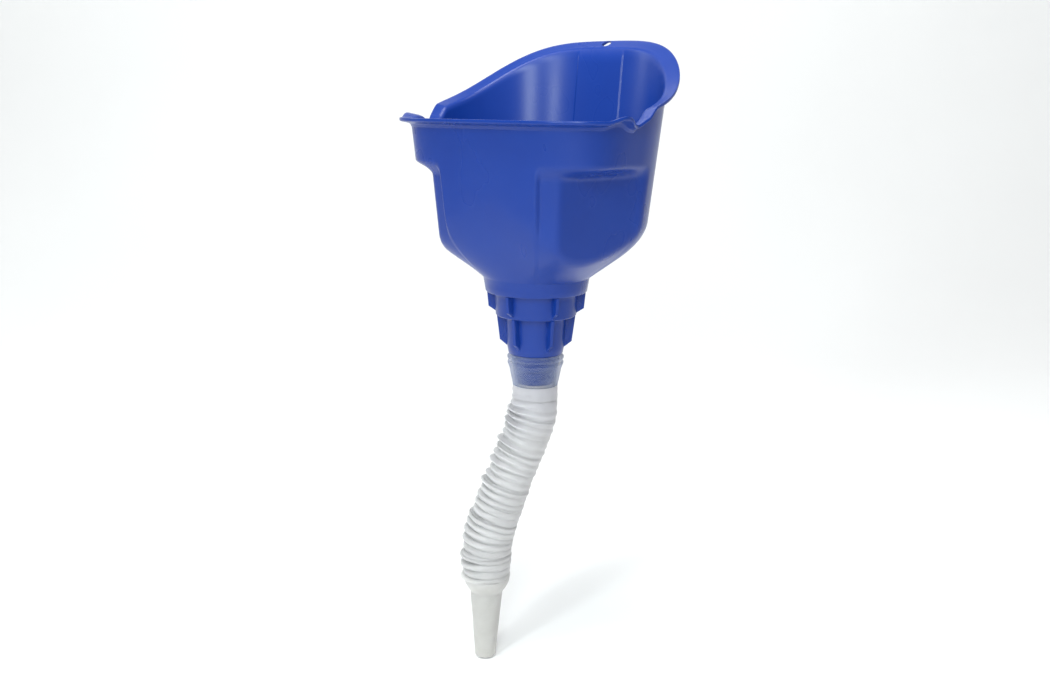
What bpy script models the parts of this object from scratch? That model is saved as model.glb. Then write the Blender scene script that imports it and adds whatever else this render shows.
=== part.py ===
"""Hand funnel with a splash-back hopper, a stepped finned neck and a flexible spout.

Metres, +Z up.  The origin is on the neck's axis, at the shoulder that the spout's collar
butts against.  The hopper's low lip faces -Y and its high splash back faces +Y.
The spout is a chain of short rings that turn on each other, standing for its bellows.
"""
import math

import bmesh
import bpy
from mathutils import Matrix, Vector

MM = 0.001
GAP = 0.35 * MM                 # running gap between pieces that touch

# Hopper plan, measured at the level of the low lip
LOW_RIM_Z = 147.5 * MM          # top of the front lip
HALF_WIDTH = 75.4 * MM
FRONT_DEPTH = 57.3 * MM         # neck axis to the front wall
BACK_DEPTH = 69.9 * MM          # neck axis to the back wall
FRONT_SQUARENESS = 3.7          # superellipse powers: 2 is an ellipse, more is squarer
BACK_SQUARENESS = 2.27
DRAFT = 0.11                    # the walls widen by this much for each unit of height
WALL = 1.9 * MM                 # wall thickness, measured level
SLOPE_WALL = 1.2 * MM           # extra thickness, measured upright, for sloping walls

# Rim
BACK_RISE = 39.9 * MM           # how far the back rises above the start of the high rim
HIGH_RIM_Z = 155.2 * MM         # where the high rim starts, at the sides
RISE_SHAPE = (0.64, -0.92, 3.77, -2.49)       # how the rise grows towards the back
NOTCH_ANGLE = 99.5              # degrees from the back, at each side
NOTCH_Z = 146.0 * MM
DROP_STEEP = (89.0, 94.5)       # where the high rim drops towards the notch
DROP_GENTLE = (93.0, 99.5)
DROP_SHARE = 0.6                # share of the drop that is steep
EAR_ANGLE = 110.0
EAR_RISE = 2.6 * MM
EAR_REACH = 9.0                 # degrees from the notch to the ear's top
FLANGE = 7.2 * MM               # how far the rim's lip stands out
FLANGE_EDGE = 2.3 * MM          # thickness of the lip
FLARE_FRONT = 1.5 * MM          # how far the lip's edge stands above its root
FLARE_BACK = 4.5 * MM
EAR_WIDENING = 0.15
NOTCH_NARROWING = 0.40
HOLE_RADIUS = 3.0 * MM

# Hand grips pressed into both front corners
GRIP_TOP_Z = 114.5 * MM         # the flat of the grip starts here and runs down
GRIP_SHELF_Z = 123.0 * MM       # the rounded shelf above it ends here
GRIP_FLAT = (0.9377, -0.3473, 61.5 * MM)      # plane normal x, y and distance
GRIP_CORNER = (0.298, -0.954, 59.3 * MM)
GRIP_DRAFT = 0.10
GRIP_REAR = (76.0, 83.0)        # degrees from the back, where the grip fades out
GRIP_FRONT = (143.0, 147.0)     # and where it steps out to the front wall

# Cone and neck: each stage is (radius, height above the shoulder)
CONE_TOP_Z = 75 * MM
CONE_BOTTOM_Z = 50 * MM
CONE_ROUNDING = 15 * MM
NECK_OUTER = [(34.1, 50.0), (32.6, 40.8), (27.0, 40.8), (26.0, 25.2), (19.8, 25.2),
              (18.5, 4.6), (17.6, 0.0)]
NECK_INNER = [(13.4, 0.0), (15.6, 3.0), (17.6, 27.2), (23.9, 27.2), (25.0, 42.8),
              (30.6, 42.8), (32.1, 50.8)]
SPIGOT_TOP_RADIUS = 15.4 * MM
SPIGOT_END_RADIUS = 12.6 * MM
SPIGOT_WALL = 1.9 * MM
SPIGOT_LENGTH = 20 * MM
BARB_HEIGHT = 0.5 * MM
BARB_COUNT = 3
BARB_PITCH = 5.2 * MM

# Fins: (inner radius, outer radius at top, outer at bottom, top, bottom, chamfer end)
FIN_COUNT = 6
FIN_START_ANGLE = 30.0
FIN_THICKNESS = 2.4 * MM
FIN_TIERS = [(25.2, 31.9, 30.9, 41.4, 30.0, 27.0), (18.0, 25.6, 23.4, 25.8, 8.2, 4.6)]

# Strainer that rests on the ledge inside the neck
STRAINER_Z = 43.1 * MM
STRAINER_RADIUS = 29.8 * MM
STRAINER_HEIGHT = 3.4 * MM
STRAINER_LIP = 1.4 * MM
GAUZE_RADIUS = 24.4 * MM
GAUZE_THICKNESS = 0.6 * MM
STRAINER_BAR = 1.6 * MM

# Spout: a collar, a chain of bellows rings and a nozzle
RING_COUNT = 10
RING_LENGTH = 12.7 * MM
CHAIN_TOP_Z = -24 * MM
BEND_DIRECTION = Vector((-0.8, -0.6, 0.0))    # the way the spout leans at rest
# Angle from vertical of each ring, then of the nozzle, in degrees
LEAN = [0, 13, 20, 20, 20, 19, 19, 19, 13, 1, 1]
BALL_RADIUS = 11.8 * MM
SOCKET_RADIUS = 12.25 * MM
BORE_RADIUS = 9.9 * MM
BALL_ANGLES = (20.5, 10.0, -1.0, -12.0)       # degrees below the joint's level
SOCKET_ANGLES = (-27.0, -16.0, -5.5, 5.0)
COLLAR_SOCKET_ANGLES = (-13.0, -4.0, 5.0)     # the first ring only turns in the collar
LEDGE_RADIUS = 10.9 * MM        # the collar's bore below the spigot
COLLAR_OUTER = [(17.3, -0.35), (18.4, -1.6), (18.4, -3.6), (17.7, -4.8), (18.2, -6.0),
                (17.9, -8.4), (16.8, -9.6), (14.9, -20.6), (14.9, -22.8)]
RING_RIDGES = [(12.6, -4.95), (16.2, -7.0), (13.7, -9.0), (16.2, -11.0), (13.7, -12.8)]
NOZZLE_RIDGES = [(12.6, -4.95), (16.2, -7.0), (14.1, -9.0), (15.8, -11.0), (15.2, -14.0),
                 (13.6, -17.4)]
NOZZLE_SHOULDER = 22.0 * MM
NOZZLE_THROAT = 7 * MM          # height of the funnel-shaped step in the bore
NOZZLE_LENGTH = 69 * MM
NOZZLE_ROOT_RADIUS = 10.8 * MM
NOZZLE_TIP_RADIUS = 7.1 * MM
NOZZLE_WALL = 1.5 * MM

HOPPER_STEPS = 72
TURN_STEPS = 16
FINE_TURN_STEPS = 32


# ------------------------------------------------------------------ scene and material

def clear_scene():
    for obj in list(bpy.data.objects):
        bpy.data.objects.remove(obj, do_unlink=True)


def make_collection(name):
    collection = bpy.data.collections.new(name)
    bpy.context.scene.collection.children.link(collection)
    return collection


def make_material(name, colour, roughness, metallic=0.0):
    material = bpy.data.materials.new(name)
    material.use_nodes = True
    shader = material.node_tree.nodes["Principled BSDF"]
    shader.inputs["Base Color"].default_value = (*colour, 1.0)
    shader.inputs["Roughness"].default_value = roughness
    shader.inputs["Metallic"].default_value = metallic
    return material


def blue_polythene():
    return make_material("blue_polythene", (0.03, 0.07, 0.42), 0.38)


def milky_polythene():
    return make_material("milky_polythene", (0.85, 0.86, 0.86), 0.4)


def white_polypropylene():
    return make_material("white_polypropylene", (0.8, 0.8, 0.78), 0.45)


def woven_brass():
    return make_material("woven_brass", (0.65, 0.5, 0.25), 0.4, 1.0)


def new_object(name, mesh, collection, material=None):
    obj = bpy.data.objects.new(name, mesh)
    collection.objects.link(obj)
    if material:
        mesh.materials.append(material)
    return obj


def shade(obj):
    obj.data.shade_smooth()
    obj.data.set_sharp_from_angle(angle=math.radians(30))


def make_cutter(obj):
    obj.hide_render = True
    obj.display_type = "WIRE"


def add_boolean(obj, tool, operation):
    modifier = obj.modifiers.new(operation.lower(), "BOOLEAN")
    modifier.operation = operation
    modifier.object = tool
    make_cutter(tool)


# ------------------------------------------------------------------------ hopper shape

def smooth_step(value, low, high):
    t = min(max((value - low) / (high - low), 0.0), 1.0)
    return t * t * (3 - 2 * t)


def smooth_min(a, b, width):
    blend = max(width - abs(a - b), 0.0) / width
    return min(a, b) - blend * blend * width / 4


def plan_radius(angle):
    """Distance from the neck's axis to the wall, angle measured from the back."""
    side = abs(math.sin(angle)) / HALF_WIDTH
    if math.cos(angle) > 0:
        power = BACK_SQUARENESS
        depth = math.cos(angle) / BACK_DEPTH
    else:
        power = FRONT_SQUARENESS
        depth = -math.cos(angle) / FRONT_DEPTH
    return (side ** power + depth ** power) ** (-1 / power)


def plane_radius(plane, angle):
    across, along, distance = plane
    facing = across * abs(math.sin(angle)) + along * math.cos(angle)
    return distance / facing if facing > 0.2 else 10 * distance


def grip_radius(angle, z):
    flat = plane_radius(GRIP_FLAT, angle)
    corner = plane_radius(GRIP_CORNER, angle)
    return smooth_min(flat, corner, 3 * MM) + GRIP_DRAFT * (z - GRIP_TOP_Z)


def grip_weight(angle, z):
    turn = abs(math.degrees(math.atan2(math.sin(angle), math.cos(angle))))
    around = smooth_step(turn, *GRIP_REAR) * (1 - smooth_step(turn, *GRIP_FRONT))
    return around * (1 - smooth_step(z, GRIP_TOP_Z, GRIP_SHELF_Z))


def hopper_radius(angle, z):
    """Outside of the hopper at a level: wall, cone and grips together."""
    neck = NECK_OUTER[0][0] * MM
    wall = plan_radius(angle) + DRAFT * (z - LOW_RIM_Z)
    wall_at_cone = plan_radius(angle) + DRAFT * (CONE_TOP_Z - LOW_RIM_Z)
    slope = (wall_at_cone - neck) / (CONE_TOP_Z - CONE_BOTTOM_Z)
    cone = neck + slope * (z - CONE_BOTTOM_Z)
    plain = smooth_min(wall, cone, CONE_ROUNDING)
    gripped = smooth_min(plain, grip_radius(angle, z), 2 * MM)
    return max(plain + grip_weight(angle, z) * (gripped - plain), neck)


def rim_height(angle):
    """Top of the rim: low lip, raised ear, notch, then the rise to the back."""
    turn = abs(math.degrees(math.atan2(math.sin(angle), math.cos(angle))))
    facing = max(math.cos(angle), 0.0)
    high = HIGH_RIM_Z
    for power, share in enumerate(RISE_SHAPE):
        high += BACK_RISE * share * facing ** (power + 1)
    drop = DROP_SHARE * smooth_step(turn, *DROP_STEEP)
    drop += (1 - DROP_SHARE) * smooth_step(turn, *DROP_GENTLE)
    if turn < NOTCH_ANGLE:
        return high + (NOTCH_Z - high) * drop
    ear = EAR_RISE * (1 - smooth_step(abs(turn - EAR_ANGLE), 0.0, EAR_REACH))
    climb = smooth_step(turn, NOTCH_ANGLE, NOTCH_ANGLE + EAR_REACH)
    return NOTCH_Z + (LOW_RIM_Z + ear - NOTCH_Z) * climb


def flange_width(angle):
    turn = abs(math.degrees(math.atan2(math.sin(angle), math.cos(angle))))
    ear = 1 - smooth_step(abs(turn - EAR_ANGLE), 0.0, 8.0)
    notch = 1 - smooth_step(abs(turn - NOTCH_ANGLE), 0.0, 7.0)
    return FLANGE * (1 + EAR_WIDENING * ear - NOTCH_NARROWING * notch)


def flange_flare(angle):
    towards_back = smooth_step(math.cos(angle), -0.2, 0.9)
    return FLARE_FRONT + (FLARE_BACK - FLARE_FRONT) * towards_back


def flange_rows():
    def top_edge(angle):
        z = rim_height(angle)
        return hopper_radius(angle, z) + flange_width(angle), z + flange_flare(angle)

    def low_edge(angle):
        radius, z = top_edge(angle)
        return radius, z - FLANGE_EDGE

    def root(angle):
        z = rim_height(angle) - FLANGE_EDGE
        return hopper_radius(angle, z), z

    return [top_edge, low_edge, root]


def wall_rows(levels, inside):
    """One row of the shell for each level, on its outside or its inside."""
    rows = []
    for level in levels:
        z = level * MM

        def row(angle, z=z):
            if inside:
                return hopper_radius(angle, z) - WALL, z + SLOPE_WALL
            return hopper_radius(angle, z), z

        rows.append(row)
    return rows


def round_rows(points):
    return [lambda angle, r=r, z=z: (r * MM, z * MM) for r, z in points]


def spigot_profile():
    """Tapered spigot with barbs, from the neck's shoulder to its open end and back up."""
    def taper(z):
        fraction = -z / SPIGOT_LENGTH
        return SPIGOT_TOP_RADIUS + fraction * (SPIGOT_END_RADIUS - SPIGOT_TOP_RADIUS)

    points = [(SPIGOT_TOP_RADIUS, 0.0)]
    for index in range(BARB_COUNT):
        z = -(index + 1) * BARB_PITCH
        points.append((taper(z) + BARB_HEIGHT, z))
        points.append((taper(z - MM), z - MM))
    points.append((SPIGOT_END_RADIUS, -SPIGOT_LENGTH))
    points.append((SPIGOT_END_RADIUS - SPIGOT_WALL, -SPIGOT_LENGTH))
    return [(radius / MM, z / MM) for radius, z in points]


def rim_inner_row(angle):
    z = rim_height(angle)
    return hopper_radius(angle, z) - WALL, z


def funnel_rows():
    outer_levels = [140, 127, 123, 121, 119, 117, 115, 111, 100, 88, 80, 76, 72, 66, 58]
    inner_levels = [57, 66, 73, 79, 90, 112, 115, 117, 119, 121, 124, 138]
    rows = flange_rows()
    rows += wall_rows(outer_levels, inside=False)
    rows += round_rows(NECK_OUTER)
    rows += round_rows(spigot_profile())
    rows += round_rows(NECK_INNER)
    rows += wall_rows(inner_levels, inside=True)
    rows.append(rim_inner_row)
    return rows


def loft(rows, steps):
    """Closed skin through rings of points, the last ring joined to the first."""
    mesh_builder = bmesh.new()
    rings = []
    for row in rows:
        ring = []
        for step in range(steps):
            angle = 2 * math.pi * step / steps
            radius, z = row(angle)
            place = (radius * math.sin(angle), radius * math.cos(angle), z)
            ring.append(mesh_builder.verts.new(place))
        rings.append(ring)
    for index, ring in enumerate(rings):
        below = rings[(index + 1) % len(rings)]
        for step in range(steps):
            ahead = (step + 1) % steps
            mesh_builder.faces.new((ring[step], ring[ahead], below[ahead], below[step]))
    bmesh.ops.triangulate(mesh_builder, faces=mesh_builder.faces[:])
    mesh = bpy.data.meshes.new("loft")
    mesh_builder.to_mesh(mesh)
    mesh_builder.free()
    return mesh


def prism(outline, thickness):
    """Upright plate in the XZ plane, extruded along Y about its middle."""
    mesh_builder = bmesh.new()
    corners = [mesh_builder.verts.new((x, -thickness / 2, z)) for x, z in outline]
    face = mesh_builder.faces.new(corners)
    swept = bmesh.ops.extrude_face_region(mesh_builder, geom=[face])
    moved = [item for item in swept["geom"] if isinstance(item, bmesh.types.BMVert)]
    bmesh.ops.translate(mesh_builder, verts=moved, vec=(0, thickness, 0))
    bmesh.ops.recalc_face_normals(mesh_builder, faces=mesh_builder.faces[:])
    mesh = bpy.data.meshes.new("plate")
    mesh_builder.to_mesh(mesh)
    mesh_builder.free()
    return mesh


def add_fins(funnel, tools):
    for tier, (inner, top_out, low_out, top, low, chamfer_end) in enumerate(FIN_TIERS):
        outline = [(inner * MM, top * MM), (top_out * MM, top * MM),
                   (low_out * MM, low * MM), ((inner + 1) * MM, chamfer_end * MM),
                   (inner * MM, chamfer_end * MM)]
        for index in range(FIN_COUNT):
            fin = new_object(f"fin_{tier}_{index}", prism(outline, FIN_THICKNESS), tools)
            turn = math.radians(FIN_START_ANGLE + index * 360 / FIN_COUNT)
            fin.rotation_euler.z = turn
            add_boolean(funnel, fin, "UNION")


def disc(radius, depth, steps, middle):
    """Short upright cylinder about a vertical axis."""
    mesh_builder = bmesh.new()
    bmesh.ops.create_cone(mesh_builder, cap_ends=True, segments=steps, radius1=radius,
                          radius2=radius, depth=depth, matrix=Matrix.Translation(middle))
    mesh = bpy.data.meshes.new("disc")
    mesh_builder.to_mesh(mesh)
    mesh_builder.free()
    return mesh


def add_hanging_hole(funnel, tools):
    z = rim_height(0.0)
    reach = hopper_radius(0.0, z) + 0.5 * FLANGE
    z += 0.5 * flange_flare(0.0)
    hole = new_object("hanging_hole", disc(HOLE_RADIUS, 12 * MM, 16, (0, reach, z)), tools)
    add_boolean(funnel, hole, "DIFFERENCE")


def build_funnel(parts, tools, material):
    funnel = new_object("funnel_body", loft(funnel_rows(), HOPPER_STEPS), parts, material)
    add_fins(funnel, tools)
    add_hanging_hole(funnel, tools)
    shade(funnel)
    return funnel


# --------------------------------------------------------------------- turned pieces

def turned(name, profile, collection, material=None, steps=TURN_STEPS):
    """Ring turned about Z from a closed profile, listed down its outer side first."""
    mesh_builder = bmesh.new()
    verts = [mesh_builder.verts.new((radius, 0, z)) for radius, z in profile]
    for index, vert in enumerate(verts):
        mesh_builder.edges.new((vert, verts[(index + 1) % len(verts)]))
    mesh = bpy.data.meshes.new(name)
    mesh_builder.to_mesh(mesh)
    mesh_builder.free()
    obj = new_object(name, mesh, collection, material)
    screw = obj.modifiers.new("turn", "SCREW")
    screw.axis = "Z"
    screw.steps = steps
    screw.render_steps = steps
    screw.use_merge_vertices = True
    screw.merge_threshold = 0.00001
    screw.use_smooth_shade = False
    return obj


def build_strainer(parts, tools, frame_material, gauze_material):
    top = STRAINER_Z + STRAINER_HEIGHT
    lip_top = STRAINER_Z + STRAINER_LIP
    seat = GAUZE_RADIUS + GAP
    lip = GAUZE_RADIUS - 2 * MM
    profile = [(STRAINER_RADIUS, top), (STRAINER_RADIUS, STRAINER_Z), (lip, STRAINER_Z),
               (lip, lip_top), (seat, lip_top), (seat, top)]
    frame = turned("strainer_frame", profile, parts, frame_material, FINE_TURN_STEPS)
    for index in range(2):
        half = lip + MM
        outline = [(-half, lip_top), (-half, STRAINER_Z), (half, STRAINER_Z),
                   (half, lip_top)]
        bar = new_object(f"strainer_bar_{index}", prism(outline, STRAINER_BAR), tools)
        bar.rotation_euler.z = math.radians(45 + 90 * index)
        add_boolean(frame, bar, "UNION")
    middle = lip_top + GAP + GAUZE_THICKNESS / 2
    gauze = disc(GAUZE_RADIUS, GAUZE_THICKNESS, FINE_TURN_STEPS, (0, 0, middle))
    new_object("strainer_gauze", gauze, parts, gauze_material)


def arc_points(radius, angles, centre):
    """Points on a ball or socket about a joint that lies at a depth down the tube."""
    points = []
    for degrees in angles:
        turn = math.radians(degrees)
        points.append((radius * math.cos(turn), -centre - radius * math.sin(turn)))
    return points


def ring_profile():
    """One bellows ring, its joint to the piece above at the local origin, running -Z."""
    rim = -RING_LENGTH - SOCKET_RADIUS * math.sin(math.radians(SOCKET_ANGLES[-1]))
    top = arc_points(BALL_RADIUS, BALL_ANGLES[::-1], 0.0)
    ridges = [(radius * MM, z * MM) for radius, z in RING_RIDGES]
    ridges.append((ridges[-1][0], rim))
    socket = arc_points(SOCKET_RADIUS, SOCKET_ANGLES[::-1], RING_LENGTH)
    bore = [(BORE_RADIUS, socket[-1][1]), (BORE_RADIUS, top[0][1])]
    return top + ridges + socket + bore


def collar_profile():
    """Collar over the barbed spigot, with the socket for the first ring below it."""
    outer = [(radius * MM, z * MM) for radius, z in COLLAR_OUTER]
    socket = arc_points(SOCKET_RADIUS, COLLAR_SOCKET_ANGLES[::-1], -CHAIN_TOP_Z)
    outer.append((outer[-1][0], socket[0][1]))
    step = GAP + BARB_HEIGHT
    spigot = [(LEDGE_RADIUS, socket[-1][1]),
              (LEDGE_RADIUS, -SPIGOT_LENGTH - GAP),
              (SPIGOT_END_RADIUS + step, -SPIGOT_LENGTH - GAP),
              (SPIGOT_TOP_RADIUS + step, -GAP)]
    return outer, socket, spigot


def build_collar(parts, material):
    outer, socket, spigot = collar_profile()
    return turned("spout_collar", outer + socket + spigot, parts, material,
                  FINE_TURN_STEPS)


def nozzle_profile():
    top = arc_points(BALL_RADIUS, BALL_ANGLES[::-1], 0.0)
    outer = [(radius * MM, z * MM) for radius, z in NOZZLE_RIDGES]
    outer.append((NOZZLE_ROOT_RADIUS, -NOZZLE_SHOULDER))
    outer.append((NOZZLE_TIP_RADIUS, -NOZZLE_LENGTH))
    inner = [(NOZZLE_TIP_RADIUS - NOZZLE_WALL, -NOZZLE_LENGTH),
             (NOZZLE_ROOT_RADIUS - NOZZLE_WALL, -NOZZLE_SHOULDER),
             (BORE_RADIUS, -NOZZLE_SHOULDER + NOZZLE_THROAT), (BORE_RADIUS, top[0][1])]
    return top + outer + inner


def joint_places():
    """Places of the chain's joints and the direction each piece runs from its joint."""
    place = Vector((0, 0, CHAIN_TOP_Z))
    stations = []
    for lean in LEAN:
        turn = math.radians(lean)
        run = BEND_DIRECTION * math.sin(turn) + Vector((0, 0, -math.cos(turn)))
        stations.append((place.copy(), run))
        place = place + run * RING_LENGTH
    return stations


def stand_at(obj, place, run):
    """Put a piece's joint at a place, with its own -Z along the run of the spout."""
    across = BEND_DIRECTION.cross(Vector((0, 0, 1)))
    up = -run
    side = across.cross(up)
    turn = Matrix((side, across, up)).transposed()
    obj.matrix_world = Matrix.Translation(place) @ turn.to_4x4()


def build_spout(parts, material):
    build_collar(parts, material)
    stations = joint_places()
    for index in range(RING_COUNT):
        ring = turned(f"bellows_ring_{index + 1:02d}", ring_profile(), parts, material)
        stand_at(ring, *stations[index])
    nozzle = turned("spout_nozzle", nozzle_profile(), parts, material)
    stand_at(nozzle, *stations[RING_COUNT])


def main():
    clear_scene()
    parts = make_collection("funnel")
    tools = make_collection("cutters")
    build_funnel(parts, tools, blue_polythene())
    build_strainer(parts, tools, white_polypropylene(), woven_brass())
    build_spout(parts, milky_polythene())


main()
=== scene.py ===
"""Looks of the hand funnel: hopper moulding, strainer, translucent collar, bellows and nozzle.

Metres, +Z up, in the same frame as the CAD part.
"""

import math

import bmesh
import bpy
from mathutils import Matrix, Vector


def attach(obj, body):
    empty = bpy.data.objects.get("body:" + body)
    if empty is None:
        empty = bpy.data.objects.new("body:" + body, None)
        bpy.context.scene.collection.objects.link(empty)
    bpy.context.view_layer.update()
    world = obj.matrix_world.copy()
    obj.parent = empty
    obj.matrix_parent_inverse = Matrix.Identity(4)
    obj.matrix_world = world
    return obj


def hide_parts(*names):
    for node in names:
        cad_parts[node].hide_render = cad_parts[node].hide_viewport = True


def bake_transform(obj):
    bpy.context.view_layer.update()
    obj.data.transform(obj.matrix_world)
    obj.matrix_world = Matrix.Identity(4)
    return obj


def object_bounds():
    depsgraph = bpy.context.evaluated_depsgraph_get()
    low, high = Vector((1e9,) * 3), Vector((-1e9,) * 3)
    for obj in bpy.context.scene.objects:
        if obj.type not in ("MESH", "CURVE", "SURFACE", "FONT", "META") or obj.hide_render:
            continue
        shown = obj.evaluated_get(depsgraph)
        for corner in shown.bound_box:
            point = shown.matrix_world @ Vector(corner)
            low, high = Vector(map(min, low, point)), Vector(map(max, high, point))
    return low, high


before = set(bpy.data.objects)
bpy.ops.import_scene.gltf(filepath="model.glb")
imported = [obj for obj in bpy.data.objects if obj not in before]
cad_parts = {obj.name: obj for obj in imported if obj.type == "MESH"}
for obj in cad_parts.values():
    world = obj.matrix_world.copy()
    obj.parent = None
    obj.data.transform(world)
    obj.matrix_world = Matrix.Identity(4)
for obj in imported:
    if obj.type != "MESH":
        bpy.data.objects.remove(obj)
CAD_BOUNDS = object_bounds()

MM = 0.001

# Lengths below are in mm and angles in degrees. Turns round the hopper are from its high back.

# Hopper: the CAD body's dimensions, drawn finer, with deeper grips and a tilted hole
LOW_RIM_Z = 147.5
HALF_WIDTH = 75.4
FRONT_DEPTH = 57.3
BACK_DEPTH = 69.9
FRONT_SQUARENESS = 3.7
BACK_SQUARENESS = 2.27
DRAFT = 0.11
WALL = 1.9
SLOPE_WALL = 1.2                # the inside is raised by this over the slope to the neck
SLOPE_TOP_Z = 130.0
SLOPE_FADE = 20.0
LIP_DEPTH = 3.0                 # the inside wall starts this far below the rim
BACK_RISE = 39.9
HIGH_RIM_Z = 155.2
RISE_SHAPE = (0.64, -0.92, 3.77, -2.49)     # shares of the facing's powers 1 to 4; they add to 1
NOTCH_ANGLE = 99.5
NOTCH_Z = 146.0
DROP_STEEP = (89.0, 94.5)
DROP_GENTLE = (93.0, 99.5)
DROP_SHARE = 0.6
EAR_ANGLE = 110.0
EAR_RISE = 2.6
EAR_REACH = 9.0
EAR_WIDENING = 0.15             # of the flange, within EAR_SPREAD of the ear
EAR_SPREAD = 8.0
NOTCH_NARROWING = 0.40          # of the flange, within NOTCH_SPREAD of the notch
NOTCH_SPREAD = 7.0
FLANGE = 7.2
FLANGE_EDGE = 2.3
FLANGE_FILLET = 1.4
FLARE_FRONT = 1.5
FLARE_BACK = 4.5
HOLE_RADIUS = 3.2
HOLE_TILT = 42.0                # its axis leans over the mouth; the lip there slopes by 32
HOLE_TOOL_DEPTH = 14.0
GRIP_TOP_Z = 114.5
GRIP_SHELF_Z = 123.0
GRIP_FLAT = (0.9377, -0.3473, 61.5)     # plane: direction sideways and back, distance
GRIP_CORNER = (0.298, -0.954, 59.3)
GRIP_CORNER_ROUNDING = 3.0
GRIP_ROUNDING = 2.5
GRIP_DRAFT = 0.10
GRIP_REAR = (76.0, 83.0)
GRIP_FRONT = (143.0, 147.0)
GRIP_STEP = 0.7                 # the whole grip is sunk by this much
CONE_TOP_Z = 75.0
CONE_BOTTOM_Z = 50.0
CONE_ROUNDING = 15.0
NECK_RADIUS = 34.1
PANEL_HALF = 17.4               # raised panel inside the back wall
PANEL_EDGE_TURN = 14.5          # where the mesh is finer, for the panel's edge
PANEL_RISE = 0.9
PANEL_BOTTOM = 96.0
WALL_TOP_Z = 138.0              # from the rim down to here the rows follow the rim
RIM_ROWS = 14
WALL_LEVELS = [136, 134, 132, 130, 128, 126, 124.5, 123, 122, 121, 120, 119, 118, 117, 116,
               115, 114, 113, 112, 110, 107, 104, 100, 96, 92, 89, 86, 84, 82, 80, 78.5, 77,
               75.5, 74, 72.5, 71, 69, 67, 64.5, 62, 59.5, 57, 54.5, 52.2, 50.6]
INNER_BOTTOM_Z = 52.5

# Neck stages and fins; profiles are (radius, z) from the top down
NECK_OUTER = [(34.1, 50.0), (33.2, 44.6), (32.7, 41.4), (32.2, 40.8), (27.4, 40.8),
              (27.0, 40.3), (26.8, 37.0), (26.55, 33.5), (26.4, 31.4), (26.32, 30.0),
              (26.25, 29.0), (26.18, 28.0), (26.1, 26.9), (26.0, 25.7), (25.5, 25.2),
              (20.2, 25.2), (19.8, 24.7), (19.6, 21.5), (19.35, 17.5), (19.1, 13.5),
              (18.9, 10.2), (18.75, 8.2), (18.67, 7.2), (18.6, 6.2), (18.55, 5.2),
              (18.4, 4.2), (17.8, 0.6), (17.3, 0.0)]
# Inside of the neck, from the bottom up
NECK_INNER = [(13.4, 0.2), (15.6, 3.0), (17.4, 25.2), (17.9, 27.2), (23.6, 27.2),
              (23.9, 27.7), (24.9, 42.4), (25.4, 42.8), (30.3, 42.8), (30.6, 43.3),
              (32.1, 50.8)]
FIN_COUNT = 6
FIN_SPACING = 60.0
FIN_START = 30.0                # from the +X side
FIN_HALF = 1.25
FIN_TIERS = [[(30.6, 41.4), (31.9, 40.4), (30.9, 30.0), (26.2, 27.0)],
             [(24.4, 25.8), (25.5, 24.8), (23.4, 8.2), (19.0, 4.6)]]
SPIGOT_TOP_RADIUS = 15.4
SPIGOT_END_RADIUS = 12.6
SPIGOT_LENGTH = 20.0
SPIGOT_STEPS = 4                # tapering stretches, with a barb between each and the next
BARB_PITCH = 5.2

# Strainer; its section is (radius, height above its underside)
STRAINER_Z = 43.1
STRAINER_SECTION = [(29.4, 3.4), (29.8, 3.0), (29.8, 0.4), (29.4, 0.0), (22.7, 0.0),
                    (22.4, 0.3), (22.4, 1.1), (22.7, 1.4), (24.75, 1.4), (24.75, 3.0),
                    (25.1, 3.4)]
BAR_HALF_LENGTH = 23.0
BAR_STEPS = 24
BAR_CORNERS = 12
BAR_HALF_WIDTH = 0.8
BAR_HALF_HEIGHT = 0.7
GAUZE_RADIUS = 24.4
GAUZE_Z = 45.1
WIRE_PITCH = 1.5
WIRE_RADIUS = 0.17
WIRE_CORNERS = 5
WIRE_END_GAP = 0.2
SHORTEST_HALF_WIRE = 1.0

# Spout: its centre line is the CAD chain's, and s counts ring lengths down from the chain's top
RING_LENGTH = 12.7
CHAIN_TOP_Z = -24.0
LEAN = [0, 13, 20, 20, 20, 19, 19, 19, 13, 1, 1]    # of the ten rings, then the nozzle
RINGS = len(LEAN) - 1
BEND_DIRECTION = Vector((-0.8, -0.6, 0.0))
ACROSS_BEND = Vector((0.6, -0.8, 0.0))
SMOOTHING_STEPS = 4             # either side of a point, to round the centre line
SMOOTHING_SPACING = 0.16
TUBE_STEPS = 96
TURNED_STEPS = 128
CONVOLUTIONS_PER_RING = 2.5
STEPS_PER_CONVOLUTION = 12
SPOUT_WALL = 0.9
BELLOWS_TOP_S = -0.22           # at the collar's lower end
BELLOWS_TOP_RADIUS = 14.75
BELLOWS_TOP_STEPS = 18
BELLOWS_END_S = 10.82           # overlaps the nozzle's shoulder
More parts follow.
